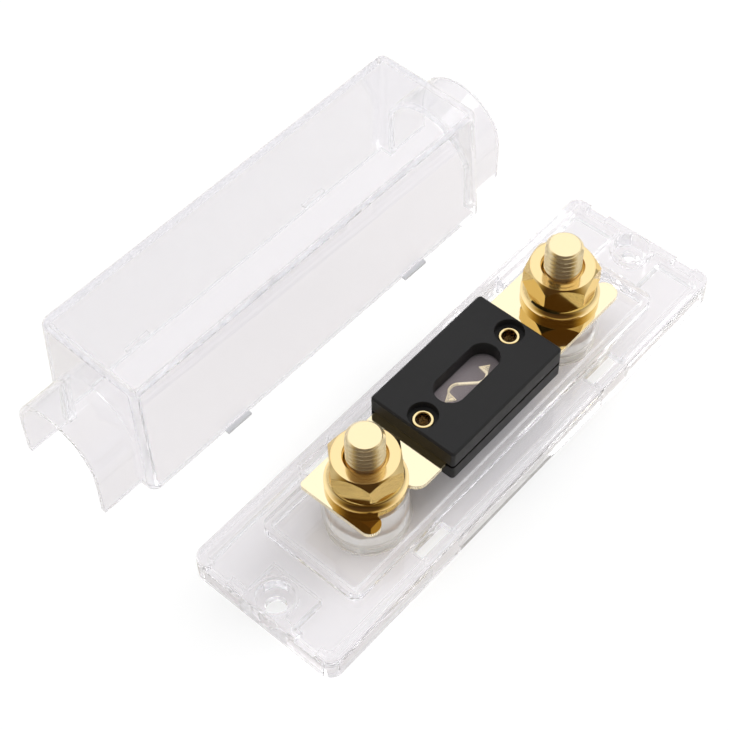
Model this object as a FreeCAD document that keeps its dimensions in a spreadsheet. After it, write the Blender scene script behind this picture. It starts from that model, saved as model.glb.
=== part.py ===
import FreeCAD, Part
import math
import os
import re
import Sketcher

# Bolt down fuse holder: a clear moulded base with two hex bolts standing in it, a bolted
# strip fuse clamped by two flange nuts, and the clear cover taken off and laid beside it.
# X runs along the base, Y towards the cover, Z up, and the origin is the centre of the
# base's underside. All lengths are millimetres.

os.makedirs("parts", exist_ok=True)
doc = FreeCAD.newDocument("fuse_holder")

SIZES = {
    # base moulding
    "base_length": 125.0,
    "base_width": 37.4,
    "base_corner_radius": 2.8,
    "rim_height": 6.1,
    "rim_width": 2.3,
    "rim_edge_radius": 0.5,
    "tray_corner_radius": 1.0,
    "floor_height": 4.7,
    "floor_thickness": 2.0,
    "skirt_thickness": 2.0,
    "boss_radius": 8.6,
    "boss_height": 14.0,
    "rib_end_gap": 13.8,
    "rib_side_gap": 6.0,
    "rib_thickness": 1.45,
    "rib_height": 7.5,
    "rib_corner_radius": 2.0,
    "hole_end_distance": 4.5,
    "hole_diameter": 4.5,
    "counterbore_diameter": 7.9,
    "hole_web": 1.9,
    "collar_radius": 4.7,
    "hole_pad_width": 12.6,
    "notch_inner_gap": 1.5,
    "notch_outer_gap": 2.4,
    "snap_slot_end_gap": 1.1,
    "snap_slot_inner_gap": 0.5,
    "snap_slot_outer_gap": 0.8,
    # stud bolts
    "stud_diameter": 8.0,
    "stud_top": 31.1,
    "stud_chamfer": 0.8,
    "head_width": 13.0,
    "head_thickness": 5.3,
    "head_recess": 0.8,
    "head_clearance": 0.1,
    "stud_clearance": 0.2,
    # flange nuts
    "nut_height": 9.5,
    "nut_width": 14.1,
    "nut_face_diameter": 13.6,
    "nut_bore_clearance": 0.06,
    "nut_countersink": 0.6,
    "flange_radius": 8.4,
    "flange_thickness": 1.4,
    "neck_radius": 7.0,
    "neck_height": 2.9,
    "under_chamfer_slope": 1.5,
    "near_nut_turn": 47.0,
    "far_nut_turn": 12.0,
    # fuse
    "blade_width": 19.2,
    "blade_thickness": 1.0,
    "near_tab_trim": 0.35,
    "near_slot_width": 9.3,
    "near_slot_offset": 0.05,
    "near_tab_width": 4.6,
    "near_tab_flat": 0.2,
    "far_slot_width": 8.6,
    "finger_reach": 9.2,
    "finger_flat": 0.3,
    "inner_tab_radius": 3.0,
    "blade_corner_radius": 1.0,
    "link_middle": 0.4,
    "link_bend_reach": 2.9,
    "link_bend_drop": 0.2,
    "link_bend_radius": 2.2,
    "link_neck_angle": 137.0,
    "link_width": 0.5,
    "link_thickness": 0.4,
    "flare_tip_reach": 6.6,
    "flare_tip_rise": 0.55,
    "flare_heel_reach": 4.7,
    "flare_heel_drop": 0.9,
    "stem_reach": 5.2,
    "stem_radius": 0.35,
    "tongue_width": 3.0,
    "tongue_thickness": 0.4,
    "sheet_clearance": 0.1,
    "shell_length": 34.9,
    "shell_to_flange": 5.15,
    "shell_width": 21.8,
    "shell_corner_radius": 0.8,
    "shell_edge": 0.4,
    "upper_shell_top": 19.0,
    "upper_shell_bottom": 14.6,
    "lower_shell_top": 14.35,
    "lower_shell_bottom": 10.4,
    "window_width": 7.0,
    "window_end_gap": 1.75,
    "pane_lap": 0.8,
    "pane_thickness": 0.3,
    "rivet_end_distance": 3.7,
    "rivet_bore": 3.0,
    "rivet_diameter": 3.8,
    "rivet_flange_diameter": 4.6,
    "rivet_flange_thickness": 0.4,
    "rivet_flange_edge": 0.3,
    "rivet_clearance": 0.05,
    "rivet_recess_diameter": 6.4,
    "rivet_recess_depth": 1.8,
    # cover
    "cover_end_gap": 10.65,
    "cover_side_gap": 3.1,
    "cover_height": 31.8,
    "cover_end_draft": 0.75,
    "cover_side_draft": 1.5,
    "cover_thickness": 1.9,
    "cover_corner_radius": 2.2,
    "cover_edge_radius": 1.5,
    "hood_end_gap": 0.5,
    "hood_radius": 11.9,
    "hood_thickness": 1.2,
    "hood_spring": 10.5,
    "hood_foot": 0.5,
    "snap_spacing": 55.8,
    "snap_length": 6.8,
    "snap_reach": 1.1,
    "snap_height": 0.7,
    "snap_clearance": 0.1,
    "cover_away": 52.2,
    "cover_back": -2.2,
    "cover_turn": -1.2,
}

sheet = doc.addObject("Spreadsheet::Sheet", "Sizes")
for row, (alias, number) in enumerate(SIZES.items(), start=1):
    sheet.set(f"A{row}", alias)
    sheet.set(f"B{row}", str(number))
    sheet.setAlias(f"B{row}", alias)
doc.recompute()


# Expressions name the sheet's cells by alias alone, and full() adds the sheet's name.


def full(expression):
    """An expression as FreeCAD reads it, each alias with the sheet's name before it."""
    def named(match):
        word = match.group()
        return "Sizes." + word if word in SIZES else word
    return re.sub(r"[a-z_]+", named, str(expression))


def value(expression):
    """The number that an expression gives now."""
    result = sheet.evalExpression(full(expression))
    return float(getattr(result, "Value", result))


def bind(item, path, expression):
    item.setExpression(path, full(expression))


def both_signs(expression):
    return (f"-({expression})", f"({expression})")


# Lengths that follow from the sizes

HALF_STUDS = "(shell_length / 2 + shell_to_flange + flange_radius)"
HALF_BASE = "base_length / 2"
HALF_HOLES = "(base_length / 2 - hole_end_distance)"
RIB_LENGTH = "(base_length - 2 * rib_end_gap)"
RIB_WIDTH = "(base_width - 2 * rib_side_gap)"
COVER_LENGTH = "(base_length - 2 * cover_end_gap)"
COVER_WIDTH = "(base_width - 2 * cover_side_gap)"
HOOD_LENGTH = "(base_length - 2 * hood_end_gap)"
BLADE_TOP = "(boss_height + blade_thickness)"
CUT_MARGIN = "1"  # how far a turned cut runs out past the corners it takes off


# Sketch geometry


def new_body(name):
    body = doc.addObject("PartDesign::Body", name)
    body.Label = name
    return body


def new_sketch(body, name, lift="0", plane="XY_Plane"):
    """A sketch on one of the body's own origin planes, moved along its normal by lift."""
    sketch = body.newObject("Sketcher::SketchObject", name)
    support = [item for item in body.Origin.OriginFeatures if item.Role == plane]
    sketch.AttachmentSupport = [(support[0], "")]
    sketch.MapMode = "FlatFace"
    bind(sketch, "AttachmentOffset.Base.z", lift)
    return sketch


def constrain(sketch, kind, *parts, expression=None):
    """Adds a constraint, and ties its datum to the sheet where an expression is given."""
    if expression is None:
        return sketch.addConstraint(Sketcher.Constraint(kind, *parts))
    index = sketch.addConstraint(Sketcher.Constraint(kind, *parts, value(expression)))
    bind(sketch, f"Constraints[{index}]", expression)
    return index


START = 1
END = 2
CENTRE = 3
ROOT = (-1, 1)


def pin(sketch, element, point, across, along):
    """Holds one point of an element at the given sketch coordinates."""
    constrain(sketch, "DistanceX", *ROOT, element, point, expression=across)
    constrain(sketch, "DistanceY", *ROOT, element, point, expression=along)


def at(across, along):
    return FreeCAD.Vector(value(across), value(along), 0)


def add_polygon(sketch, corners):
    """A closed outline of straight edges through corners given as pairs of expressions."""
    points = [at(*corner) for corner in corners]
    edges = []
    for index, start in enumerate(points):
        end = points[(index + 1) % len(points)]
        edges.append(sketch.addGeometry(Part.LineSegment(start, end), False))
    for index, edge in enumerate(edges):
        constrain(sketch, "Coincident", edge, START, edges[index - 1], END)
        pin(sketch, edge, START, *corners[index])


def add_rectangle(sketch, low_x, high_x, low_y, high_y):
    add_polygon(sketch, [(low_x, low_y), (high_x, low_y), (high_x, high_y), (low_x, high_y)])


def add_in_four_corners(sketch, low_x, high_x, low_y, high_y):
    """The rectangle given, and its mirror images in both of the sketch's axes."""
    for x_pair in ((low_x, high_x), (f"-{high_x}", f"-{low_x}")):
        for y_pair in ((low_y, high_y), (f"-{high_y}", f"-{low_y}")):
            add_rectangle(sketch, *x_pair, *y_pair)


def add_circle(sketch, x, y, radius):
    circle = sketch.addGeometry(Part.Circle(at(x, y), FreeCAD.Vector(0, 0, 1), value(radius)), False)
    pin(sketch, circle, CENTRE, x, y)
    constrain(sketch, "Radius", circle, expression=radius)


def add_arc(sketch, x, y, radius, start_degrees, end_degrees):
    """An arc with its centre and radius held, whose ends its neighbours settle."""
    circle = Part.Circle(at(x, y), FreeCAD.Vector(0, 0, 1), value(radius))
    arc = Part.ArcOfCircle(circle, math.radians(start_degrees), math.radians(end_degrees))
    element = sketch.addGeometry(arc, False)
    pin(sketch, element, CENTRE, x, y)
    constrain(sketch, "Radius", element, expression=radius)
    return element


def add_line(sketch, start, end):
    return sketch.addGeometry(Part.LineSegment(start, end), False)


def join(sketch, first, second):
    """Makes the end of one element run smoothly into the start of the next."""
    constrain(sketch, "Tangent", first, END, second, START)


def add_round_loop(sketch, centres, radius):
    """A closed outline of equal arcs, counterclockwise, joined by straight tangent edges."""
    step = 360.0 / len(centres)
    first_angle = -90.0 - step / 2 if len(centres) == 2 else -90.0 - step
    arcs = []
    for index, (x, y) in enumerate(centres):
        start = first_angle + index * step
        arcs.append(add_arc(sketch, x, y, radius, start, start + step))
    for index, arc in enumerate(arcs):
        following = arcs[(index + 1) % len(arcs)]
        start = sketch.Geometry[arc].EndPoint
        end = sketch.Geometry[following].StartPoint
        line = add_line(sketch, start, end)
        join(sketch, arc, line)
        join(sketch, line, following)


def add_rounded_rectangle(sketch, length, width, radius):
    """A rectangle about the sketch's origin with rounded corners."""
    x = f"(({length}) / 2 - ({radius}))"
    y = f"(({width}) / 2 - ({radius}))"
    centres = [(f"-{x}", f"-{y}"), (x, f"-{y}"), (x, y), (f"-{x}", y)]
    add_round_loop(sketch, centres, radius)


def add_stadium(sketch, length, width):
    """A slot with full round ends about the sketch's origin, long in X."""
    reach = f"(({length}) - ({width})) / 2"
    add_round_loop(sketch, [(f"-{reach}", "0"), (reach, "0")], f"({width}) / 2")


def add_hexagon(sketch, x, y, width, turn):
    """A hexagon of a given width across flats, with a corner at the angle turn."""
    corners = []
    for index in range(6):
        angle = f"(({turn}) + {60 * index})"
        corners.append((f"{x} + ({width}) / sqrt(3) * cos{angle}", f"{y} + ({width}) / sqrt(3) * sin{angle}"))
    add_polygon(sketch, corners)


def add_arch(sketch, radius, foot, spring):
    """An arch about the sketch's upright axis: a half circle on two straight legs."""
    arc = add_arc(sketch, "0", spring, radius, 0, 180)
    left = add_line(sketch, at(f"-({radius})", spring), at(f"-({radius})", foot))
    sill = add_line(sketch, at(f"-({radius})", foot), at(radius, foot))
    right = add_line(sketch, at(radius, foot), at(radius, spring))
    join(sketch, arc, left)
    join(sketch, right, arc)
    constrain(sketch, "Vertical", left)
    constrain(sketch, "Vertical", right)
    constrain(sketch, "Coincident", left, END, sill, START)
    constrain(sketch, "Coincident", sill, END, right, START)
    constrain(sketch, "DistanceY", *ROOT, left, END, expression=foot)
    constrain(sketch, "DistanceY", *ROOT, right, START, expression=foot)


# Features


def pad(body, sketch, length):
    feature = body.newObject("PartDesign::Pad", sketch.Name + "_pad")
    feature.Profile = sketch
    bind(feature, "Length", length)
    sketch.Visibility = False
    doc.recompute()
    return feature


def pad_both_ways(body, sketch, length):
    feature = pad(body, sketch, length)
    feature.Midplane = True
    doc.recompute()
    return feature


def pocket(body, sketch, length, upward=False):
    """Cuts below the sketch, or above it where upward is set."""
    before = body.Shape.Volume
    feature = body.newObject("PartDesign::Pocket", sketch.Name + "_pocket")
    feature.Profile = sketch
    feature.Reversed = upward
    bind(feature, "Length", length)
    sketch.Visibility = False
    doc.recompute()
    if body.Shape.Volume > before - 1e-6:
        raise ValueError(feature.Name + " cuts nothing")
    return feature


def pocket_both_ways(body, sketch, length):
    feature = pocket(body, sketch, length)
    feature.Midplane = True
    doc.recompute()
    return feature


def turned(body, kind, sketch):
    """A full revolution or groove about the body's own Z axis."""
    feature = body.newObject("PartDesign::" + kind, sketch.Name + "_turned")
    feature.Profile = sketch
    axis = [item for item in body.Origin.OriginFeatures if item.Role == "Z_Axis"]
    feature.ReferenceAxis = (axis[0], [""])
    feature.Angle = 360
    sketch.Visibility = False
    doc.recompute()
    return feature


def soften(body, kind, chooser, size):
    """A fillet or chamfer on the edges of the body's last feature that chooser picks."""
    base = body.Tip
    names = [f"Edge{index}" for index, edge in enumerate(base.Shape.Edges, start=1) if chooser(edge)]
    feature = body.newObject("PartDesign::" + kind, base.Name + "_" + kind.lower())
    feature.Base = (base, names)
    bind(feature, "Radius" if kind == "Fillet" else "Size", size)
    doc.recompute()
    return feature


def draft(body, chooser, angle, inside=False):
    """Leans the faces that chooser picks inwards from the body's own XY plane up."""
    base = body.Tip
    names = [f"Face{index}" for index, face in enumerate(base.Shape.Faces, start=1) if chooser(face)]
    feature = body.newObject("PartDesign::Draft", base.Name + "_draft")
    feature.Base = (base, names)
    plane = [item for item in body.Origin.OriginFeatures if item.Role == "XY_Plane"]
    feature.NeutralPlane = (plane[0], [""])
    feature.Reversed = inside
    bind(feature, "Angle", angle)
    doc.recompute()  # readies the plane, and the faces lean at the next pass
    doc.recompute()
    return feature


NEAR = 1e-4


def faces_at_ends(distance):
    """Picks faces that stand square to X at the given distance either way."""
    wanted = value(distance)
    def chooser(face):
        box = face.BoundBox
        return box.XLength < NEAR and abs(abs(box.XMin) - wanted) < NEAR
    return chooser


def lies_at_height(height):
    """Picks edges that lie wholly in one level plane."""
    level = value(height)
    def chooser(edge):
        box = edge.BoundBox
        return abs(box.ZMin - level) < NEAR and abs(box.ZMax - level) < NEAR
    return chooser


def spans_height(low, high):
    """Picks edges that rise from one level to another."""
    bottom = value(low)
    top = value(high)
    def chooser(edge):
        box = edge.BoundBox
        return abs(box.ZMin - bottom) < NEAR and abs(box.ZMax - top) < NEAR
    return chooser


def stands_at(places):
    """Picks upright edges at any of the given places."""
    points = [at(*place) for place in places]
    def chooser(edge):
        box = edge.BoundBox
        upright = box.XLength < NEAR and box.YLength < NEAR
        return upright and any(
            abs(box.XMin - point.x) < NEAR and abs(box.YMin - point.y) < NEAR for point in points
        )
    return chooser


# Base moulding


def make_base():
    body = new_body("base")

    outline = new_sketch(body, "base_outline")
    add_rounded_rectangle(outline, "base_length", "base_width", "base_corner_radius")
    pad(body, outline, "rim_height")
    soften(body, "Fillet", lies_at_height("rim_height"), "rim_edge_radius")

    tray = new_sketch(body, "tray", "rim_height")
    add_rounded_rectangle(
        tray, "base_length - 2 * rim_width", "base_width - 2 * rim_width", "tray_corner_radius"
    )
    pocket(body, tray, "rim_height - floor_height")

    hollow = new_sketch(body, "underside_hollow")
    add_rounded_rectangle(
        hollow, "base_length - 2 * skirt_thickness", "base_width - 2 * skirt_thickness", "tray_corner_radius"
    )
    pocket(body, hollow, "floor_height - floor_thickness", upward=True)

    pads = new_sketch(body, "hole_pads")
    inner = f"({HALF_HOLES} - hole_pad_width / 2)"
    outer = f"({HALF_BASE} - skirt_thickness / 2)"
    add_rectangle(pads, f"-{outer}", f"-{inner}", *both_signs("hole_pad_width / 2"))
    add_rectangle(pads, inner, outer, *both_signs("hole_pad_width / 2"))
    pad(body, pads, "floor_height - floor_thickness / 2")

    collars = new_sketch(body, "hole_collars", "floor_height - floor_thickness / 2")
    for way in ("-", ""):
        add_collar(collars, way)
    pad(body, collars, "rim_height - floor_height + floor_thickness / 2")

    bosses = new_sketch(body, "stud_bosses")
    for x in both_signs(HALF_STUDS):
        add_circle(bosses, x, "0", "boss_radius")
    pad(body, bosses, "boss_height")

    rib = new_sketch(body, "locating_rib", "floor_height - floor_thickness / 2")
    add_rounded_rectangle(rib, RIB_LENGTH, RIB_WIDTH, "rib_corner_radius")
    add_rounded_rectangle(
        rib,
        f"{RIB_LENGTH} - 2 * rib_thickness",
        f"{RIB_WIDTH} - 2 * rib_thickness",
        "rib_corner_radius - rib_thickness",
    )
    pad(body, rib, "rib_height - floor_height + floor_thickness / 2")

    counterbores = new_sketch(body, "counterbores", "rim_height")
    for x in both_signs(HALF_HOLES):
        add_circle(counterbores, x, "0", "counterbore_diameter / 2")
    pocket(body, counterbores, "rim_height - hole_web")

    holes = new_sketch(body, "mounting_holes", "rim_height")
    for x in both_signs(HALF_HOLES):
        add_circle(holes, x, "0", "hole_diameter / 2")
    pocket(body, holes, "rim_height")

    head_pockets = new_sketch(body, "bolt_head_pockets")
    for x in both_signs(HALF_STUDS):
        add_hexagon(head_pockets, x, "0", "head_width + 2 * head_clearance", "30")
    pocket(body, head_pockets, "head_recess + head_thickness", upward=True)

    bores = new_sketch(body, "stud_bores", "boss_height")
    for x in both_signs(HALF_STUDS):
        add_circle(bores, x, "0", "stud_diameter / 2 + stud_clearance")
    pocket(body, bores, "boss_height")

    notches = new_sketch(body, "hood_notches", "rim_height")
    lip_inner = f"({HALF_BASE} - rim_width)"
    notch_inner = "(hood_radius - hood_thickness - notch_inner_gap)"
    notch_outer = "(hood_radius + notch_outer_gap)"
    add_in_four_corners(notches, lip_inner, HALF_BASE, notch_inner, notch_outer)
    pocket(body, notches, "rim_height - floor_height")

    slots = new_sketch(body, "snap_slots")
    half_slot = "(snap_length / 2 + snap_slot_end_gap)"
    slot_inner = f"({COVER_WIDTH} / 2 - cover_thickness - snap_slot_inner_gap)"
    slot_outer = f"({COVER_WIDTH} / 2 + snap_reach + snap_slot_outer_gap)"
    half_snaps = "(snap_spacing / 2)"
    add_in_four_corners(
        slots, f"({half_snaps} - {half_slot})", f"({half_snaps} + {half_slot})", slot_inner, slot_outer
    )
    pocket(body, slots, "floor_height + snap_height + snap_clearance", upward=True)
    return body


def add_collar(sketch, way):
    """The collar round a mounting hole, open into the end rim. way is "-" or nothing."""
    x = f"{way}({HALF_HOLES})"
    wall = f"{way}({HALF_BASE} - rim_width / 2)"
    start = -90 if way else 90
    first_y, last_y = ("collar_radius", "-collar_radius") if way else ("-collar_radius", "collar_radius")
    arc = add_arc(sketch, x, "0", "collar_radius", start, start + 180)
    leaving = add_line(sketch, at(x, first_y), at(wall, first_y))
    across = add_line(sketch, at(wall, first_y), at(wall, last_y))
    coming = add_line(sketch, at(wall, last_y), at(x, last_y))
    join(sketch, arc, leaving)
    join(sketch, coming, arc)
    constrain(sketch, "Horizontal", leaving)
    constrain(sketch, "Horizontal", coming)
    constrain(sketch, "Coincident", leaving, END, across, START)
    constrain(sketch, "Coincident", across, END, coming, START)
    constrain(sketch, "DistanceX", *ROOT, across, START, expression=wall)
    constrain(sketch, "DistanceX", *ROOT, across, END, expression=wall)


# Stud bolts and flange nuts, each built about its own axis and moved to its stud


def make_stud_bolt(name, place):
    body = new_body(name)
    head = new_sketch(body, name + "_head", "head_recess")
    add_hexagon(head, "0", "0", "head_width", "30")
    pad(body, head, "head_thickness")
    shank = new_sketch(body, name + "_shank", "head_recess")
    add_circle(shank, "0", "0", "stud_diameter / 2")
    pad(body, shank, "stud_top - head_recess")
    soften(body, "Chamfer", lies_at_height("stud_top"), "stud_chamfer")
    bind(body, "Placement.Base.x", place)
    return body


def make_flange_nut(name, place, turn):
    body = new_body(name)

    hexagon = new_sketch(body, name + "_hexagon", "flange_thickness")
    add_hexagon(hexagon, "0", "0", "nut_width", "0")
    pad(body, hexagon, "nut_height - flange_thickness")

    corner = f"(nut_width / sqrt(3) + {CUT_MARGIN})"
    top_rise = f"({corner} - nut_face_diameter / 2)"
    under_rise = f"(under_chamfer_slope * ({corner} - neck_radius))"
    chamfers = new_sketch(body, name + "_chamfers", plane="XZ_Plane")
    add_polygon(chamfers, [
        ("nut_face_diameter / 2", "nut_height"),
        (corner, f"nut_height - {top_rise}"),
        (corner, "nut_height"),
    ])
    add_polygon(chamfers, [
        ("neck_radius", "flange_thickness"),
        (corner, "flange_thickness"),
        (corner, f"neck_height + {under_rise}"),
        ("neck_radius", "neck_height"),
    ])
    turned(body, "Groove", chamfers)

    flange = new_sketch(body, name + "_flange", plane="XZ_Plane")
    add_flange_profile(flange)
    turned(body, "Revolution", flange)

    bore_radius = "(stud_diameter / 2 + nut_bore_clearance)"
    bore = new_sketch(body, name + "_bore", "nut_height")
    add_circle(bore, "0", "0", bore_radius)
    pocket(body, bore, "nut_height")
    soften(body, "Chamfer", ring_of_radius(bore_radius), "nut_countersink")

    bind(body, "Placement.Base.x", place)
    bind(body, "Placement.Base.z", BLADE_TOP)
    body.Placement.Rotation = FreeCAD.Rotation(FreeCAD.Vector(0, 0, 1), 0)
    bind(body, "Placement.Rotation.Angle", turn)
    return body


def add_flange_profile(sketch):
    """The flange's half section: a flat seat, a straight rim and a hollow sweep to the neck."""
    rise = "(neck_height - flange_thickness)"
    spread = "(flange_radius - neck_radius)"
    radius = f"(({rise} * {rise} + {spread} * {spread}) / (2 * {spread}))"
    sweep_x = f"neck_radius + {radius}"
    sweep_angle = math.degrees(math.atan2(value(rise), value(f"{radius} - {spread}")))
    arc = add_arc(sketch, sweep_x, "neck_height", radius, 180, 180 + sweep_angle)
    arc_top = at("neck_radius", "neck_height")
    arc_foot = at("flange_radius", "flange_thickness")
    neck = add_line(sketch, at("0", "neck_height"), arc_top)
    axis = add_line(sketch, at("0", "0"), at("0", "neck_height"))
    seat = add_line(sketch, at("flange_radius", "0"), at("0", "0"))
    rim = add_line(sketch, arc_foot, at("flange_radius", "0"))
    constrain(sketch, "Coincident", neck, END, arc, START)
    constrain(sketch, "Coincident", arc, END, rim, START)
    constrain(sketch, "Coincident", rim, END, seat, START)
    constrain(sketch, "Coincident", seat, END, axis, START)
    constrain(sketch, "Coincident", axis, END, neck, START)
    pin(sketch, axis, START, "0", "0")
    pin(sketch, neck, START, "0", "neck_height")
    pin(sketch, rim, END, "flange_radius", "0")
    constrain(sketch, "DistanceY", *ROOT, neck, END, expression="neck_height")
    constrain(sketch, "DistanceX", *ROOT, rim, START, expression="flange_radius")


def ring_of_radius(radius, levels=None):
    """Picks whole circles of one radius about the body's axis, at the given levels if any."""
    wanted = value(radius)
    heights = [value(level) for level in levels or []]
    def chooser(edge):
        curve = edge.Curve
        if not isinstance(curve, Part.Circle) or abs(curve.Radius - wanted) > NEAR:
            return False
        return not heights or any(abs(curve.Center.z - height) < NEAR for height in heights)
    return chooser


# Fuse

RIVET_PLACE = "(shell_length / 2 - rivet_end_distance)"
WINDOW_LENGTH = f"(2 * ({RIVET_PLACE} - rivet_recess_diameter / 2 - window_end_gap))"
PANE_LENGTH = f"({WINDOW_LENGTH} + 2 * pane_lap)"
PANE_WIDTH = "(window_width + 2 * pane_lap)"
BLADE_END = f"({PANE_LENGTH} / 2)"
NEAR_SLOT = f"({HALF_STUDS} - near_slot_offset)"
NEAR_END = f"({NEAR_SLOT} + near_slot_width / 2 + near_tab_width)"
FAR_END = f"({HALF_STUDS} + finger_reach)"
TAB_EDGE = "(blade_width / 2 - near_tab_trim)"
TAB_RADIUS = "((near_tab_width - near_tab_flat) / 2)"
FINGER_RADIUS = "((blade_width / 2 - far_slot_width / 2 - finger_flat) / 2)"
SHEET_THICKNESS = "(blade_thickness - tongue_thickness - link_thickness)"
BEND_INSIDE = "(link_bend_radius - link_width / 2)"
BEND_OUTSIDE = "(link_bend_radius + link_width / 2)"


def make_fuse_link():
    """The stamped strip: two slotted blades, joined in the window by a thin S.

    Under the window each blade is thinned to a tongue below the insulating sheet, and a
    stem carries it up through the sheet to the end of the S.
    """
    body = new_body("fuse_link")

    tongues = new_sketch(body, "link_tongues", "boss_height")
    for x_pair in ((f"-({BLADE_END} + blade_thickness)", "link_middle - stem_reach"),
                   ("link_middle + stem_reach", f"({BLADE_END} + blade_thickness)")):
        add_rectangle(tongues, *x_pair, *both_signs("tongue_width / 2"))
    strip = new_sketch(body, "link_strip", f"{BLADE_TOP} - link_thickness")
    add_link_strip(strip)
    stems = new_sketch(body, "link_stems", "boss_height")
    for x in ("link_middle - stem_reach", "link_middle + stem_reach"):
        add_circle(stems, x, "0", "stem_radius")
    blades = new_sketch(body, "blades", "boss_height")
    add_rectangle(blades, f"-{NEAR_END}", f"-{BLADE_END}", f"-{TAB_EDGE}", "blade_width / 2")
    add_rectangle(blades, BLADE_END, FAR_END, *both_signs("blade_width / 2"))
    pad(body, blades, "blade_thickness")
    pad(body, tongues, "tongue_thickness")
    pad(body, stems, "blade_thickness - link_thickness / 2")
    pad(body, strip, "link_thickness")
    for name, way in (("near_flare", "-"), ("far_flare", "+")):
        flare = new_sketch(body, name, f"{BLADE_TOP} - link_thickness")
        add_flare(flare, way)
        pad(body, flare, "link_thickness")

    near_slot = new_sketch(body, "near_slot", BLADE_TOP)
    add_open_slot(near_slot, f"-{NEAR_SLOT}", "near_slot_width / 2", f"-{TAB_EDGE}", downward=True)
    pocket(body, near_slot, "blade_thickness")

    far_slot = new_sketch(body, "far_slot", BLADE_TOP)
    add_open_slot(far_slot, HALF_STUDS, "far_slot_width / 2", FAR_END, downward=False)
    pocket(body, far_slot, "blade_thickness")

    rivet_holes = new_sketch(body, "blade_rivet_holes", BLADE_TOP)
    for x in both_signs(RIVET_PLACE):
        add_circle(rivet_holes, x, "0", "rivet_diameter / 2 + rivet_clearance")
    pocket(body, rivet_holes, "blade_thickness")

    tab_corners = [(f"-{NEAR_END}", f"-{TAB_EDGE}"), (f"-{NEAR_SLOT} - near_slot_width / 2", f"-{TAB_EDGE}")]
    inner_corners = [(f"-{NEAR_SLOT} + near_slot_width / 2", f"-{TAB_EDGE}")]
    finger_sides = both_signs("blade_width / 2") + both_signs("far_slot_width / 2")
    finger_corners = [(FAR_END, y) for y in finger_sides]
    soften(body, "Fillet", stands_at(tab_corners), TAB_RADIUS)
    soften(body, "Fillet", stands_at(inner_corners), "inner_tab_radius")
    soften(body, "Fillet", stands_at([(f"-{NEAR_END}", "blade_width / 2")]), "blade_corner_radius")
    soften(body, "Fillet", stands_at(finger_corners), FINGER_RADIUS)
    return body


def add_link_strip(sketch):
    """The S in outline: two arcs of a strip, joined by straight tangent edges."""
    lean = math.atan2(value("link_bend_drop"), value("link_bend_reach"))
    span = 2 * math.hypot(value("link_bend_drop"), value("link_bend_reach"))
    tangent = math.degrees(lean - math.asin(2 * value("link_bend_radius") / span)) + 90
    neck = value("link_neck_angle")
    near = ("link_middle - link_bend_reach", "-link_bend_drop")
    far = ("link_middle + link_bend_reach", "link_bend_drop")
    near_inside = add_arc(sketch, *near, BEND_INSIDE, tangent, neck)
    near_outside = add_arc(sketch, *near, BEND_OUTSIDE, tangent, neck)
    far_inside = add_arc(sketch, *far, BEND_INSIDE, tangent + 180, neck + 180)
    far_outside = add_arc(sketch, *far, BEND_OUTSIDE, tangent + 180, neck + 180)
    for near_arc, far_arc in ((near_inside, far_outside), (near_outside, far_inside)):
        line = add_line(sketch, sketch.Geometry[near_arc].StartPoint, sketch.Geometry[far_arc].StartPoint)
        constrain(sketch, "Tangent", near_arc, START, line, START)
        constrain(sketch, "Tangent", line, END, far_arc, START)
    for inside, outside, drop, turn in (
        (near_inside, near_outside, near[1], "0"),
        (far_inside, far_outside, far[1], "180"),
    ):
        cap = add_line(sketch, sketch.Geometry[inside].EndPoint, sketch.Geometry[outside].EndPoint)
        constrain(sketch, "Coincident", inside, END, cap, START)
        constrain(sketch, "Coincident", outside, END, cap, END)
        for arc, radius in ((inside, BEND_INSIDE), (outside, BEND_OUTSIDE)):
            height = f"{drop} + {radius} * sin(link_neck_angle + {turn})"
            constrain(sketch, "DistanceY", *ROOT, arc, END, expression=height)


def add_flare(sketch, way):
    """The fishtail at one end of the S, from its neck to two tips. way is "-" or "+"."""
    def neck(radius):
        reach = f"link_bend_reach - {radius} * cos(link_neck_angle)"
        rise = f"link_bend_drop - {radius} * sin(link_neck_angle)"
        return (reach, rise)
    outline = [
        neck(BEND_OUTSIDE),
        ("flare_tip_reach", "-flare_tip_rise"),
        ("flare_heel_reach", "flare_heel_drop"),
        neck(BEND_INSIDE),
    ]
    add_polygon(sketch, [(f"link_middle {way} ({reach})", f"{way}({rise})") for reach, rise in outline])


def add_open_slot(sketch, x, radius, limit, downward):
    """A slot with a round end about (x, 0) that runs out to limit, in -Y or in +X."""
    if downward:
        arc = add_arc(sketch, x, "0", radius, 0, 180)
        corners = [(f"{x} - {radius}", "0"), (f"{x} - {radius}", limit),
                   (f"{x} + {radius}", limit), (f"{x} + {radius}", "0")]
    else:
        arc = add_arc(sketch, x, "0", radius, 90, 270)
        corners = [(x, f"-{radius}"), (limit, f"-{radius}"), (limit, radius), (x, radius)]
    points = [at(*corner) for corner in corners]
    leaving = add_line(sketch, points[0], points[1])
    mouth = add_line(sketch, points[1], points[2])
    coming = add_line(sketch, points[2], points[3])
    join(sketch, arc, leaving)
    join(sketch, coming, arc)
    constrain(sketch, "Coincident", leaving, END, mouth, START)
    constrain(sketch, "Coincident", mouth, END, coming, START)
    pin(sketch, mouth, START, *corners[1])
    pin(sketch, mouth, END, *corners[2])


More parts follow.
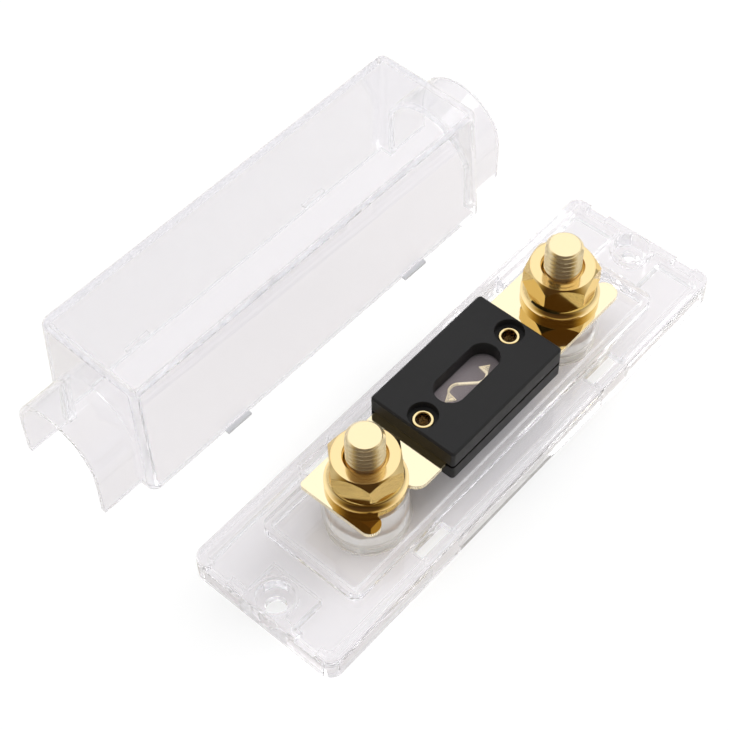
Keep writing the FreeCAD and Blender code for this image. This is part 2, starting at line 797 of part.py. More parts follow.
def make_shell(name, bottom, top, outer_face):
    """One half of the fuse's moulded case. outer_face is "top" or "bottom"."""
    body = new_body(name)
    is_upper = outer_face == "top"
    outer = top if is_upper else bottom
    inner = bottom if is_upper else top
    blade_face = BLADE_TOP if is_upper else "boss_height"
    height = f"({top} - {bottom})"

    block = new_sketch(body, name + "_block", bottom)
    add_rounded_rectangle(block, "shell_length", "shell_width", "shell_corner_radius")
    pad(body, block, height)
    soften(body, "Chamfer", lies_at_height(outer), "shell_edge")

    channel = new_sketch(body, name + "_channel", inner)
    add_rectangle(channel, *both_signs("shell_length / 2"), *both_signs("blade_width / 2"))
    channel_depth = f"({blade_face} - {inner})" if is_upper else f"({inner} - {blade_face})"
    pocket(body, channel, channel_depth, upward=is_upper)

    seat = new_sketch(body, name + "_pane_seat", blade_face)
    add_stadium(seat, PANE_LENGTH, PANE_WIDTH)
    pocket(body, seat, "pane_thickness", upward=is_upper)

    window = new_sketch(body, name + "_window", outer)
    add_stadium(window, WINDOW_LENGTH, "window_width")
    pocket(body, window, height, upward=not is_upper)

    recesses = new_sketch(body, name + "_rivet_recesses", outer)
    for x in both_signs(RIVET_PLACE):
        add_circle(recesses, x, "0", "rivet_recess_diameter / 2")
    pocket(body, recesses, "rivet_recess_depth", upward=not is_upper)

    bores = new_sketch(body, name + "_rivet_bores", outer)
    for x in both_signs(RIVET_PLACE):
        add_circle(bores, x, "0", "rivet_diameter / 2 + rivet_clearance")
    pocket(body, bores, height, upward=not is_upper)
    return body


def make_pane(name, bottom):
    """A thin window pane, held between its shell and the blades."""
    body = new_body(name)
    outline = new_sketch(body, name + "_outline", bottom)
    add_stadium(outline, PANE_LENGTH, PANE_WIDTH)
    pad(body, outline, "pane_thickness")
    return body


def make_insulating_sheet():
    """The thin sheet under the S, held between the blades' ends."""
    body = new_body("insulating_sheet")
    bottom = "boss_height + tongue_thickness"
    outline = new_sketch(body, "sheet_outline", bottom)
    add_stadium(outline, f"{PANE_LENGTH} - 2 * sheet_clearance", f"{PANE_WIDTH} - 2 * sheet_clearance")
    pad(body, outline, SHEET_THICKNESS)
    holes = new_sketch(body, "sheet_stem_holes", f"{bottom} + {SHEET_THICKNESS}")
    for x in ("link_middle - stem_reach", "link_middle + stem_reach"):
        add_circle(holes, x, "0", "stem_radius + sheet_clearance")
    pocket(body, holes, SHEET_THICKNESS)
    return body


def make_rivet(name, place):
    """A hollow rivet: a tube with a flange on each shell's recess floor."""
    body = new_body(name)
    low_seat = "(lower_shell_bottom + rivet_recess_depth)"
    high_seat = "(upper_shell_top - rivet_recess_depth)"
    profile = new_sketch(body, name + "_profile", plane="XZ_Plane")
    add_polygon(profile, [
        ("rivet_bore / 2", f"{low_seat} - rivet_flange_thickness"),
        ("rivet_flange_diameter / 2", f"{low_seat} - rivet_flange_thickness"),
        ("rivet_flange_diameter / 2", low_seat),
        ("rivet_diameter / 2", low_seat),
        ("rivet_diameter / 2", high_seat),
        ("rivet_flange_diameter / 2", high_seat),
        ("rivet_flange_diameter / 2", f"{high_seat} + rivet_flange_thickness"),
        ("rivet_bore / 2", f"{high_seat} + rivet_flange_thickness"),
    ])
    turned(body, "Revolution", profile)
    ends = (f"{low_seat} - rivet_flange_thickness", f"{high_seat} + rivet_flange_thickness")
    soften(body, "Fillet", ring_of_radius("rivet_flange_diameter / 2", ends), "rivet_flange_edge")
    soften(body, "Fillet", ring_of_radius("rivet_bore / 2", ends), "rivet_flange_edge")
    bind(body, "Placement.Base.x", place)
    return body


# Cover

END_ANGLE = "atan(cover_end_draft / cover_height)"


def add_tapered_section(sketch, half_width, top, bottom):
    """A cross section of the cover, narrowing upwards at its side draft."""
    taper = "cover_side_draft / cover_height"
    low = f"(({half_width}) - ({bottom}) * {taper})"
    high = f"(({half_width}) - ({top}) * {taper})"
    add_polygon(sketch, [(f"-{low}", bottom), (low, bottom), (high, top), (f"-{high}", top)])


def make_cover():
    body = new_body("cover")

    outer = new_sketch(body, "cover_section", plane="YZ_Plane")
    add_tapered_section(outer, f"{COVER_WIDTH} / 2", "cover_height", "0")
    pad_both_ways(body, outer, COVER_LENGTH)
    draft(body, faces_at_ends(f"{COVER_LENGTH} / 2"), END_ANGLE)
    soften(body, "Fillet", spans_height("0", "cover_height"), "cover_corner_radius")
    soften(body, "Fillet", lies_at_height("cover_height"), "cover_edge_radius")

    hood = new_sketch(body, "hood_outside", plane="YZ_Plane")
    add_arch(hood, "hood_radius", "hood_foot", "hood_spring")
    pad_both_ways(body, hood, HOOD_LENGTH)

    inner = new_sketch(body, "cover_inside", plane="YZ_Plane")
    add_tapered_section(
        inner, f"{COVER_WIDTH} / 2 - cover_thickness", "cover_height - cover_thickness", "0"
    )
    pocket_both_ways(body, inner, f"{COVER_LENGTH} - 2 * cover_thickness")
    draft(body, faces_at_ends(f"{COVER_LENGTH} / 2 - cover_thickness"), END_ANGLE, inside=True)

    tunnel = new_sketch(body, "hood_inside", plane="YZ_Plane")
    add_arch(tunnel, "hood_radius - hood_thickness", "0", "hood_spring")
    pocket_both_ways(body, tunnel, HOOD_LENGTH)

    snaps = new_sketch(body, "snap_lips")
    add_in_four_corners(
        snaps,
        "(snap_spacing / 2 - snap_length / 2)",
        "(snap_spacing / 2 + snap_length / 2)",
        f"({COVER_WIDTH} / 2 - cover_thickness / 2)",
        f"({COVER_WIDTH} / 2 + snap_reach)",
    )
    pad(body, snaps, "snap_height")

    bind(body, "Placement.Base.x", "cover_back")
    bind(body, "Placement.Base.y", "cover_away")
    body.Placement.Rotation = FreeCAD.Rotation(FreeCAD.Vector(0, 0, 1), 0)
    bind(body, "Placement.Rotation.Angle", "cover_turn")
    return body


# Assembly

NEAR_STUD = f"-{HALF_STUDS}"
FAR_STUD = HALF_STUDS

pieces = [
    make_base(),
    make_cover(),
    make_stud_bolt("near_stud_bolt", NEAR_STUD),
    make_stud_bolt("far_stud_bolt", FAR_STUD),
    make_flange_nut("near_flange_nut", NEAR_STUD, "near_nut_turn"),
    make_flange_nut("far_flange_nut", FAR_STUD, "far_nut_turn"),
    make_fuse_link(),
    make_shell("fuse_upper_shell", "upper_shell_bottom", "upper_shell_top", "top"),
    make_shell("fuse_lower_shell", "lower_shell_bottom", "lower_shell_top", "bottom"),
    make_rivet("near_rivet", f"-{RIVET_PLACE}"),
    make_rivet("far_rivet", RIVET_PLACE),
    make_insulating_sheet(),
    make_pane("upper_window_pane", BLADE_TOP),
    make_pane("lower_window_pane", "boss_height - pane_thickness"),
]
doc.recompute()

for item in doc.Objects:
    if "Invalid" in item.State or "Error" in item.State:
        raise ValueError(f"{item.Name} did not build")
for piece in pieces:
    if piece.Shape.isNull() or not piece.Shape.isValid():
        raise ValueError(f"{piece.Label} has no valid shape")
for piece in pieces:
    piece.Shape.exportStep(f"parts/{piece.Label}.step")
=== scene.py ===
import bmesh
import bpy
import math
from mathutils import Matrix, Vector


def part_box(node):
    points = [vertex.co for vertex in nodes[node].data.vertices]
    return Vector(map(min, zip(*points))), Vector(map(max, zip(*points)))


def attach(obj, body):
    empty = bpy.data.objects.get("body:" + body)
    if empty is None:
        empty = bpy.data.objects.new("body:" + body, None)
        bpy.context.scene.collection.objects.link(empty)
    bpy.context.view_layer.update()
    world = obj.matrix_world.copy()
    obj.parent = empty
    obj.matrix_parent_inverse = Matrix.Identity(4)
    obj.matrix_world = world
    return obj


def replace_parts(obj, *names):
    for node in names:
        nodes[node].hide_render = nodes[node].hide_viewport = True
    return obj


# Looks of the fuse holder: clear mouldings, gold plated bolts, nuts and fuse link, black
# fuse case. Lengths are metres, and sizes given in millimetres are multiplied by MM.

MM = 0.001

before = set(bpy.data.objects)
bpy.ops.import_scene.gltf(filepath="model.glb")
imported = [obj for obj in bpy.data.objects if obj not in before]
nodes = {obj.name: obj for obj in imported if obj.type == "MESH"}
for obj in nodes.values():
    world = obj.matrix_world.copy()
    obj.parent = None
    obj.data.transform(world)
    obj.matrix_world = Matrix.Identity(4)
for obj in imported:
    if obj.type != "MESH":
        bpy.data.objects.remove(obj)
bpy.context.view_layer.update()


# Camera, solved from the photo: focal length in picture widths, place, aim and roll

FOCAL = 1788.49 / 730
AZIMUTH = math.radians(-47.4635)
ELEVATION = math.radians(53.5033)
ROLL = math.radians(-1.569)
DISTANCE = 386.454 * MM
TARGET = Vector((-1.634, 26.4086, 0.0)) * MM
SENSOR = 36.0

towards_camera = Vector((
    math.sin(AZIMUTH) * math.cos(ELEVATION), -math.cos(AZIMUTH) * math.cos(ELEVATION), math.sin(ELEVATION)
))


def set_camera():
    side = Vector((math.cos(AZIMUTH), math.sin(AZIMUTH), 0))
    up = towards_camera.cross(side)
    rolled_side = math.cos(ROLL) * side + math.sin(ROLL) * up
    rolled_up = math.cos(ROLL) * up - math.sin(ROLL) * side
    data = bpy.data.cameras.new("camera")
    data.sensor_width = SENSOR
    data.lens = FOCAL * SENSOR
    data.clip_start = 0.01
    camera = bpy.data.objects.new("camera", data)
    turn = Matrix((rolled_side, rolled_up, towards_camera)).transposed().to_4x4()
    camera.matrix_world = Matrix.Translation(TARGET + towards_camera * DISTANCE) @ turn
    bpy.context.scene.collection.objects.link(camera)
    bpy.context.scene.camera = camera


set_camera()


# Colours and node helpers

def linear(text):
    """A linear colour from an sRGB hex colour."""
    channels = [int(text[i:i + 2], 16) / 255 for i in (1, 3, 5)]
    return [c / 12.92 if c <= 0.04045 else ((c + 0.055) / 1.055) ** 2.4 for c in channels] + [1.0]


def add(tree, kind, settings=None, **inputs):
    """Adds a node with its settings. Inputs go by name, or by number as i0, i1 and so on."""
    node = tree.nodes.new(kind)
    for name, value in (settings or {}).items():
        setattr(node, name, value)
    for name, value in inputs.items():
        numbered = name[0] == "i" and name[1:].isdigit()
        socket = node.inputs[int(name[1:])] if numbered else node.inputs[name.replace("_", " ")]
        if isinstance(value, bpy.types.NodeSocket):
            tree.links.new(value, socket)
        else:
            socket.default_value = value
    return node


def new_material(name):
    material = bpy.data.materials.new(name)
    material.use_nodes = True
    material.node_tree.nodes.clear()
    return material, material.node_tree


def finish_material(tree, shader):
    add(tree, "ShaderNodeOutputMaterial", Surface=shader)


def millimetres(tree):
    """The piece's own coordinates in millimetres."""
    place = add(tree, "ShaderNodeTexCoord")
    return add(
        tree, "ShaderNodeVectorMath", {"operation": "SCALE"}, i0=place.outputs["Object"], Scale=1 / MM
    ).outputs[0]


def mottle(tree, size, detail=2.0):
    """A soft 0 to 1 noise whose patches are about size millimetres wide."""
    node = add(tree, "ShaderNodeTexNoise", Vector=millimetres(tree), Scale=1 / size, Detail=detail)
    return node.outputs["Fac"]


def spread(tree, value, low, high, start=0.0, end=1.0):
    """Takes a value from the range start to end over to the range low to high."""
    node = add(
        tree, "ShaderNodeMapRange", Value=value, From_Min=start, From_Max=end, To_Min=low, To_Max=high
    )
    return node.outputs["Result"]


def maths(tree, operation, *values):
    inputs = {f"i{index}": value for index, value in enumerate(values)}
    return add(tree, "ShaderNodeMath", {"operation": operation}, **inputs).outputs[0]


def mixed_colour(tree, share, first, second):
    """The first colour where share is 0 and the second where it is 1."""
    return add(tree, "ShaderNodeMix", {"data_type": "RGBA"}, Factor=share, i6=first, i7=second).outputs[2]


def bumped(tree, height, depth, edge_radius):
    """A normal with edges rounded off and relief of the given depth, both in millimetres."""
    rounded = add(tree, "ShaderNodeBevel", {"samples": 4}, Radius=edge_radius * MM)
    relief = add(
        tree, "ShaderNodeBump", Height=height, Distance=depth * MM, Strength=1.0,
        Normal=rounded.outputs["Normal"],
    )
    return relief.outputs["Normal"]


# Materials

def middle_reach(name):
    """How far from the middle of the holder a node stands, in millimetres."""
    low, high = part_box(name)
    return (low.x + high.x) / 2 / MM


# Where a finish changes on a piece, in millimetres from the holder's middle and from the floor.
STUD_REACH = middle_reach("far_flange_nut")
RIVET_REACH = middle_reach("far_rivet")
RIVET_SHADED_BORE = 1.52  # radius of the bore, painted dark brown as shade
LINK_REACH = 9.4  # half the length of the link between the blades
PARTING_SHADE_HALF = 0.3  # half the height of the band painted black as shade along the parting line
MILKY_RADIUS = 7.9  # the bosses are matt inside this radius
BOSS_RADIUS = 9.2
BOSS_FOOT = 4.6
BOSS_HAZE = 0.45  # how matt the bosses' outsides are beside their bores
COVER_TURN = math.radians(-1.2)  # how the cover lies beside the base
COVER_HALF = 15.7  # from the cover's middle to its front face
# Reflections and bounces after which a ray counts as caught inside a clear wall.
CAUGHT_REFLECTIONS = 3.5
CAUGHT_BOUNCES = 9.5


def from_axes(tree, reach):
    """Distance in mm from the two upright axes that stand at reach either side of the middle."""
    axes = add(tree, "ShaderNodeSeparateXYZ", Vector=millimetres(tree))
    along = maths(tree, "SUBTRACT", maths(tree, "ABSOLUTE", axes.outputs["X"]), reach)
    across = axes.outputs["Y"]
    squares = maths(
        tree, "ADD", maths(tree, "MULTIPLY", along, along), maths(tree, "MULTIPLY", across, across)
    )
    return maths(tree, "SQRT", squares), axes.outputs["Z"]


def near_studs(tree):
    """1 in the bosses' bores, which are moulded matt, and less on the bosses' outsides."""
    distance, height = from_axes(tree, STUD_REACH)
    bore = maths(tree, "LESS_THAN", distance, MILKY_RADIUS)
    boss = maths(
        tree, "MULTIPLY", maths(tree, "LESS_THAN", distance, BOSS_RADIUS),
        maths(tree, "GREATER_THAN", height, BOSS_FOOT),
    )
    return maths(tree, "MAXIMUM", bore, maths(tree, "MULTIPLY", boss, BOSS_HAZE))


def on_lips(tree):
    """1 on the snap lips of the cover's front side, which look grey. Only lips stand out from it."""
    low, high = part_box("cover")
    across = Vector((-math.sin(COVER_TURN), math.cos(COVER_TURN), 0))
    middle = across.dot(low + high) / 2 / MM
    place = add(
        tree, "ShaderNodeVectorMath", {"operation": "DOT_PRODUCT"}, i0=millimetres(tree), i1=across
    ).outputs["Value"]
    return maths(tree, "LESS_THAN", place, middle - COVER_HALF)


def clear_moulding(name, tint, matt_zone, matt_tint):
    """Polished clear acrylic, injection moulded: glassy, milky in its matt zone, with a painted grey glow
    at its edges.

    Light from the lamps passes straight through to what lies behind. A ray that has been
    caught inside the walls for many bounces gets a painted grey glow, in place of the light that
    a thick edge shows.
    """
    material, tree = new_material(name)
    matt = matt_zone(tree)
    body = add(
        tree, "ShaderNodeBsdfPrincipled", IOR=1.49, Roughness=spread(tree, matt, 0.0, 0.5),
        Base_Color=mixed_colour(tree, matt, linear(tint), linear(matt_tint)),
        Transmission_Weight=spread(tree, matt, 0.95, 0.3),
    )
    light = add(tree, "ShaderNodeLightPath")
    open_way = add(tree, "ShaderNodeBsdfTransparent", Color=linear("#FFFFFF")).outputs[0]
    shown = body.outputs[0]
    for ray in ("Is Shadow Ray", "Is Diffuse Ray"):
        shown = add(tree, "ShaderNodeMixShader", i0=light.outputs[ray], i1=shown, i2=open_way).outputs[0]
    caught = maths(
        tree, "MAXIMUM", maths(tree, "GREATER_THAN", light.outputs["Glossy Depth"], CAUGHT_REFLECTIONS),
        maths(tree, "GREATER_THAN", light.outputs["Ray Depth"], CAUGHT_BOUNCES),
    )
    # Painted light: a grey glow for rays caught inside the walls.
    painted_edge_glow = add(tree, "ShaderNodeEmission", Color=linear("#ECEAEE"), Strength=1.0)
    shown = add(tree, "ShaderNodeMixShader", i0=caught, i1=shown, i2=painted_edge_glow.outputs[0])
    finish_material(tree, shown.outputs[0])
    return material


def gold_plate(name, colour, roughness, relief, upright_reflection_colour=None, metallic=1.0, bore=False, link=False):
    """Gold plated metal: pale and bright, with faint polishing waves in its gloss.

    Upright faces may have a deeper gold than level ones, a painted reflection of the gold that the
    faces mirror from each other. A rivet's bore is painted dark brown as shade. The thin link in the
    window is left matt, and shows cream with a painted glow.
    """
    material, tree = new_material(name)
    gloss = spread(tree, mottle(tree, 1.1, 3.0), roughness * 0.7, roughness * 1.4)
    plate = linear(colour)
    painted_glow = 0.0
    # Painted reflection: upright faces get a deeper gold, the gold they mirror from other gold.
    if upright_reflection_colour:
        normal = add(tree, "ShaderNodeNewGeometry").outputs["Normal"]
        level = maths(tree, "ABSOLUTE", add(tree, "ShaderNodeSeparateXYZ", Vector=normal).outputs["Z"])
        plate = mixed_colour(tree, spread(tree, level, 0.0, 1.0, 0.3, 0.95), linear(upright_reflection_colour), plate)
    # Painted shade: a rivet's bore is coloured dark brown.
    if bore:
        inside = maths(tree, "LESS_THAN", from_axes(tree, RIVET_REACH)[0], RIVET_SHADED_BORE)
        plate = mixed_colour(tree, inside, plate, linear("#78592A"))
    # The link in the window is matt, and gets a painted glow: cream light that no lamp gives.
    if link:
        along = add(tree, "ShaderNodeSeparateXYZ", Vector=millimetres(tree)).outputs["X"]
        matt = maths(tree, "LESS_THAN", maths(tree, "ABSOLUTE", along), LINK_REACH)
        metallic = spread(tree, matt, 1.0, 0.0)
        painted_glow = spread(tree, matt, 0.0, 0.35)
    body = add(
        tree, "ShaderNodeBsdfPrincipled", Base_Color=plate, Metallic=metallic, Roughness=gloss,
        Emission_Color=linear("#FFF4D8"), Emission_Strength=painted_glow,
        Normal=bumped(tree, mottle(tree, 2.0), depth=relief, edge_radius=0.12),
    )
    finish_material(tree, body.outputs[0])
    return material


def black_moulding(name):
    """Black moulded nylon: matt, with a fine satin grain drawn at 0.12 mm so that it shows.

    The parting line between the case's halves gets a black band of painted shade.
    """
    material, tree = new_material(name)
    gloss = spread(tree, mottle(tree, 1.6), 0.42, 0.54)
    height = add(tree, "ShaderNodeSeparateXYZ", Vector=millimetres(tree)).outputs["Z"]
    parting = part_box("fuse_upper_shell")[0].z / MM
    # Painted shade: a black band without gloss along the parting line.
    parting_shade = maths(tree, "COMPARE", height, parting, PARTING_SHADE_HALF)
    body = add(
        tree, "ShaderNodeBsdfPrincipled", Roughness=gloss, IOR=1.5,
        Base_Color=mixed_colour(tree, parting_shade, linear("#242425"), linear("#050505")),
        Specular_IOR_Level=spread(tree, parting_shade, 0.2, 0.0),
        Normal=bumped(tree, mottle(tree, 0.12), depth=0.004, edge_radius=0.2),
    )
    finish_material(tree, body.outputs[0])
    return material


def window_pane(name):
    """A thin clear polycarbonate pane: nearly invisible, with a gloss face."""
    material, tree = new_material(name)
    gloss = spread(tree, mottle(tree, 1.3), 0.06, 0.12)
    body = add(tree, "ShaderNodeBsdfPrincipled", Base_Color=linear("#C9C5C7"), Roughness=gloss, IOR=1.5)
    open_way = add(tree, "ShaderNodeBsdfTransparent", Color=linear("#F6F5F6"))
    mixed = add(tree, "ShaderNodeMixShader", i0=0.94, i1=body.outputs[0], i2=open_way.outputs[0])
    finish_material(tree, mixed.outputs[0])
    return material


def pressed_sheet(name, colour):
    """A matt sheet with a faint fibre mottle: its grey-lilac is painted shade, the dim space under the fuse
    as seen through the window.
    """
    material, tree = new_material(name)
    shade = spread(tree, mottle(tree, 0.7, 3.0), 0.94, 1.06)
    tone = add(tree, "ShaderNodeVectorMath", {"operation": "SCALE"}, i0=linear(colour)[:3], Scale=shade)
    body = add(
        tree, "ShaderNodeBsdfPrincipled", Base_Color=tone.outputs[0], Roughness=0.6, IOR=1.5,
        Normal=bumped(tree, mottle(tree, 0.25), depth=0.004, edge_radius=0.05),
    )
    finish_material(tree, body.outputs[0])
    return material


BASE_CLEAR = clear_moulding("clear_acrylic_moulded_matt_bosses", "#F9F9FA", near_studs, "#F2EFEC")
COVER_CLEAR = clear_moulding("clear_acrylic_moulded_polished", "#F9F9FA", on_lips, "#C4C4C8")
NUT_GOLD = gold_plate("gold_plated_brass_turned", "#F9DEA6", 0.1, 0.003, upright_reflection_colour="#E0BE6C")
BOLT_GOLD = gold_plate("gold_plated_steel_thread_rolled", "#FBE8BC", 0.14, 0.004, metallic=0.85)
LINK_GOLD = gold_plate("gold_plated_copper_stamped_matt_link_painted_glow", "#FCF0CC", 0.06, 0.004, link=True)
RIVET_GOLD = gold_plate("gold_plated_brass_painted_shade_in_the_bore", "#FAE3AD", 0.12, 0.006, bore=True)
BLACK = black_moulding("black_nylon_moulded_matt")
PANE = window_pane("clear_polycarbonate_pane_gloss")
# Painted shade: the sheet's grey-lilac stands in for the dim space under the fuse.
SHEET = pressed_sheet("grey_sheet_painted_shade_under_the_window", "#908889")

MATERIAL_OF = {
    "base": BASE_CLEAR,
    "cover": COVER_CLEAR,
    "near_stud_bolt": BOLT_GOLD,
    "far_stud_bolt": BOLT_GOLD,
    "near_flange_nut": NUT_GOLD,
    "far_flange_nut": NUT_GOLD,
    "near_rivet": RIVET_GOLD,
    "far_rivet": RIVET_GOLD,
    "fuse_link": LINK_GOLD,
    "fuse_upper_shell": BLACK,
    "fuse_lower_shell": BLACK,
    "upper_window_pane": PANE,
    "lower_window_pane": PANE,
    "insulating_sheet": SHEET,
}
for name, material in MATERIAL_OF.items():
    mesh = nodes[name].data
    for index in range(len(mesh.materials)):
        mesh.materials[index] = material


# Stud bolts with their threads cut

THREAD_RADIUS = 4.0 * MM
PITCH = 1.25 * MM
THREAD_DEPTH = 0.62 * MM
TIP_RADIUS = 3.2 * MM  # at the bolt's very end, from where a chamfer runs out at 45 degrees
HEAD_WIDTH = 13.0 * MM
HEAD_THICKNESS = 5.3 * MM
HEAD_BEVEL = 0.35 * MM
TURN_STEPS = 64
MERGE = 0.0005 * MM
# The thread is drawn this much longer at each end, and then cut off square.
SPARE_TURNS = 1.5
# One pitch of the thread: share of the pitch, and share of the depth below the crest.
THREAD_PROFILE = (
    (0.0, 0.0), (0.07, 0.0), (0.12, 0.06), (0.43, 0.92), (0.5, 1.0), (0.57, 0.92), (0.88, 0.06), (0.93, 0.0)
)


def new_piece(name, bm, material, body):
    mesh = bpy.data.meshes.new(name)
    bm.to_mesh(mesh)
    bm.free()
    piece = bpy.data.objects.new(name, mesh)
    bpy.context.scene.collection.objects.link(piece)
    mesh.materials.append(material)
    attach(piece, body)
    return piece


def add_hex_head(bm, bottom):
    """A hexagon with rounded edges, from bottom up."""
    made = bmesh.ops.create_circle(
        bm, cap_ends=True, segments=6, radius=HEAD_WIDTH / 2 / math.cos(math.radians(30))
    )
    bmesh.ops.translate(bm, verts=made["verts"], vec=Vector((0, 0, bottom)))
    raised = bmesh.ops.extrude_face_region(bm, geom=list(bm.faces))
    top = [item for item in raised["geom"] if isinstance(item, bmesh.types.BMVert)]
    bmesh.ops.translate(bm, verts=top, vec=Vector((0, 0, HEAD_THICKNESS)))
    bmesh.ops.bevel(
        bm, geom=list(bm.edges), offset=HEAD_BEVEL, segments=3, profile=0.5, affect="EDGES", material=-1
    )


def add_thread(bm, bottom, top):
    """A threaded rod about Z: one profile spun a full turn while it climbs one pitch."""
    profile = []
    for turn in range(int((top - bottom) / PITCH + 2 * SPARE_TURNS)):
        for share, depth in THREAD_PROFILE:
            height = bottom + (turn - SPARE_TURNS + share) * PITCH
            profile.append(bm.verts.new((THREAD_RADIUS - depth * THREAD_DEPTH, 0, height)))
    edges = [bm.edges.new(pair) for pair in zip(profile, profile[1:])]
    bmesh.ops.spin(
        bm, geom=profile + edges, cent=(0, 0, 0), axis=(0, 0, 1), dvec=(0, 0, PITCH / TURN_STEPS),
        angle=2 * math.pi, steps=TURN_STEPS,
    )
    bmesh.ops.remove_doubles(bm, verts=bm.verts, dist=MERGE)
    for height, upwards in ((bottom, -1), (top, 1)):
        cut = bmesh.ops.bisect_plane(
            bm, geom=list(bm.verts) + list(bm.edges) + list(bm.faces), dist=MERGE,
            plane_co=(0, 0, height), plane_no=(0, 0, upwards), clear_outer=True,
        )
        rim = [item for item in cut["geom_cut"] if isinstance(item, bmesh.types.BMEdge)]
        bmesh.ops.contextual_create(bm, geom=rim)


def make_bolt(name, node):
    """A hex bolt that stands in for a plain solid: its head, and its thread with a chamfered end."""
    low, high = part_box(node)
    thread = bmesh.new()
    add_thread(thread, low.z + HEAD_THICKNESS - HEAD_BEVEL, high.z)
    for vert in thread.verts:
        radius = math.hypot(vert.co.x, vert.co.y)
        limit = TIP_RADIUS + (high.z - vert.co.z)
        if radius > limit:
            vert.co.x *= limit / radius
            vert.co.y *= limit / radius
    for face in thread.faces:
        face.smooth = abs(face.normal.z) < 0.99
    rod = bpy.data.meshes.new(name + "_rod")
    thread.to_mesh(rod)
    thread.free()
    bm = bmesh.new()
    add_hex_head(bm, low.z)
    bm.from_mesh(rod)
    bpy.data.meshes.remove(rod)
    bmesh.ops.translate(bm, verts=bm.verts, vec=Vector(((low.x + high.x) / 2, (low.y + high.y) / 2, 0)))
    bmesh.ops.recalc_face_normals(bm, faces=bm.faces)
    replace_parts(new_piece(name, bm, BOLT_GOLD, "base"), node)


for side in ("near", "far"):
    make_bolt(side + "_threaded_bolt", side + "_stud_bolt")


# Floor, lamps and world

FRONT = (-0.61, -0.40, 0.66)  # towards the dark front of the studio, on the camera's side
FLOOR_HALF = 0.8
FLOOR_GAP = 0.02 * MM
# The paper's painted reflection dims in gloss between these distances to the front, in millimetres from the
# middle.
DIM_FROM, DIM_TO = 20.0, 80.0


def floor_material():
    """Matt white paper: white to the camera, with painted shade where seen behind clear parts, and a
    painted reflection in gloss that dims to dark brown towards the front.
    """
    material, tree = new_material("white_paper_matt")
    light = add(tree, "ShaderNodeLightPath")
    forward = add(
        tree, "ShaderNodeVectorMath", {"operation": "DOT_PRODUCT"}, i0=millimetres(tree),
        i1=Vector((FRONT[0], FRONT[1], 0)).normalized(),
    )
    shaded = spread(tree, forward.outputs["Value"], 0.0, 1.0, DIM_FROM, DIM_TO)
    # A ray that has passed a clear part counts as glossy too, so it is taken out of the mirrored ones.
    through = light.outputs["Is Transmission Ray"]
    mirrored = maths(
        tree, "GREATER_THAN", maths(tree, "SUBTRACT", light.outputs["Is Glossy Ray"], through), 0.5
    )
    # Painted shade: the paper seen through clear parts is greyer.
    behind = mixed_colour(tree, through, linear("#F6F6F6"), linear("#E6E3E5"))
    # Painted reflection: in gloss the paper turns dark brown towards the front.
    gloss = mixed_colour(tree, shaded, linear("#E0DCD0"), linear("#5A4326"))
    colour = mixed_colour(tree, mirrored, behind, gloss)
    shade = spread(tree, mottle(tree, 250.0, 1.0), 0.99, 1.01)
    tone = add(tree, "ShaderNodeVectorMath", {"operation": "SCALE"}, i0=colour, Scale=shade)
    body = add(tree, "ShaderNodeBsdfDiffuse", Color=tone.outputs[0])
    finish_material(tree, body.outputs[0])
    return material


def add_floor():
    bm = bmesh.new()
    bmesh.ops.create_grid(bm, x_segments=8, y_segments=8, size=FLOOR_HALF)
    bmesh.ops.translate(bm, verts=bm.verts, vec=Vector((0, 0, -FLOOR_GAP)))
    mesh = bpy.data.meshes.new("floor")
    bm.to_mesh(mesh)
    bm.free()
    floor = bpy.data.objects.new("floor", mesh)
    mesh.materials.append(floor_material())
    bpy.context.scene.collection.objects.link(floor)


def add_softbox(name, direction, distance, size, radiance):
    """A square lamp that faces the object, of the given radiance, and that no gloss shows."""
    data = bpy.data.lights.new(name, "AREA")
    data.shape = "SQUARE"
    data.size = size
    data.energy = radiance * math.pi * size * size
    item = bpy.data.objects.new(name, data)
    place = TARGET + Vector(direction).normalized() * distance
    facing = (TARGET - place).to_track_quat("-Z", "Y").to_matrix().to_4x4()
    item.matrix_world = Matrix.Translation(place) @ facing
    item.visible_glossy = False
    bpy.context.scene.collection.objects.link(item)


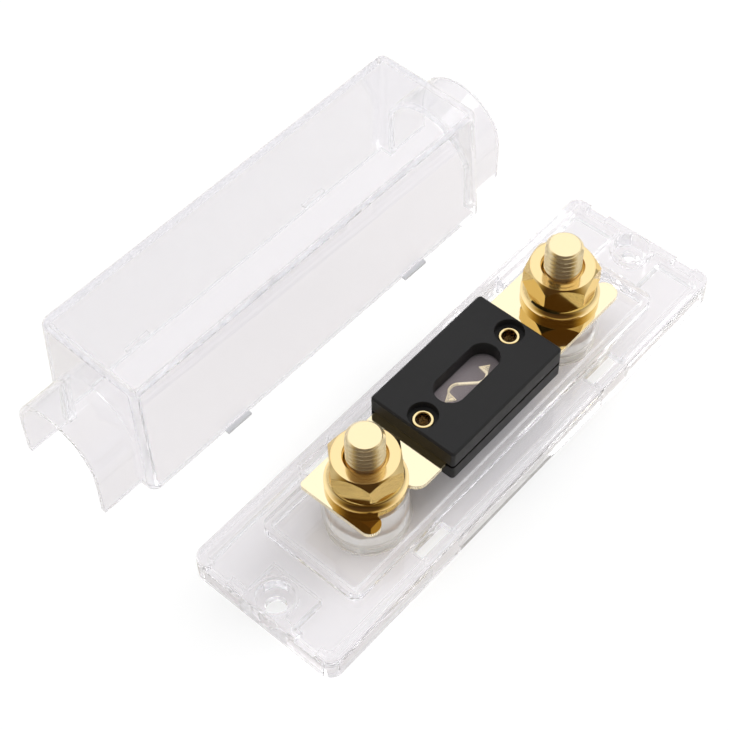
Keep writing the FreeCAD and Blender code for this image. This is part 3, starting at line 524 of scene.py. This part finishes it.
def studio_world():
    """White behind clear parts, soft light all round, and a studio with a dark side in gloss."""
    world = bpy.data.worlds.new("studio")
    world.use_nodes = True
    tree = world.node_tree
    tree.nodes.clear()
    light = add(tree, "ShaderNodeLightPath")
    place = add(tree, "ShaderNodeTexCoord").outputs["Generated"]

    def lobe(direction, wide, narrow):
        """1 within narrow degrees of a direction, falling smoothly to 0 at wide degrees."""
        towards = Vector(direction).normalized()
        dot = add(tree, "ShaderNodeVectorMath", {"operation": "DOT_PRODUCT"}, i0=place, i1=towards)
        node = add(
            tree, "ShaderNodeMapRange", {"interpolation_type": "SMOOTHSTEP"}, Value=dot.outputs["Value"],
            From_Min=math.cos(math.radians(wide)), From_Max=math.cos(math.radians(narrow)),
        )
        return node.outputs["Result"]

    # In gloss the room brightens upwards, and turns amber and then dark brown towards the front.
    height = add(tree, "ShaderNodeSeparateXYZ", Vector=place).outputs["Z"]
    brightness = spread(tree, height, 0.4, 1.15, 0.0, 0.75)
    amber = mixed_colour(tree, lobe(FRONT, 76, 45), linear("#FFFFFF"), linear("#AF9A62"))
    tone = mixed_colour(tree, lobe(FRONT, 55, 28), amber, linear("#4A3823"))
    graded = add(tree, "ShaderNodeBackground", Color=tone, Strength=brightness)
    plain = add(tree, "ShaderNodeBackground", Color=linear("#FFFFFF"), Strength=0.62)
    white = add(tree, "ShaderNodeBackground", Color=linear("#F4F3F5"), Strength=1.0)
    unseen = add(
        tree, "ShaderNodeMixShader", i0=light.outputs["Is Glossy Ray"],
        i1=plain.outputs[0], i2=graded.outputs[0],
    )
    seen = maths(tree, "MAXIMUM", light.outputs["Is Camera Ray"], light.outputs["Is Transmission Ray"])
    shown = add(tree, "ShaderNodeMixShader", i0=seen, i1=unseen.outputs[0], i2=white.outputs[0])
    add(tree, "ShaderNodeOutputWorld", Surface=shown.outputs[0])
    bpy.context.scene.world = world


add_floor()
add_softbox("key_softbox", direction=(0.9, -0.25, 0.85), distance=1.0, size=0.5, radiance=5.6)
add_softbox("top_softbox", direction=(-0.15, 0.1, 1.0), distance=1.2, size=0.8, radiance=2.2)
studio_world()
bpy.context.scene.view_settings.view_transform = "Standard"
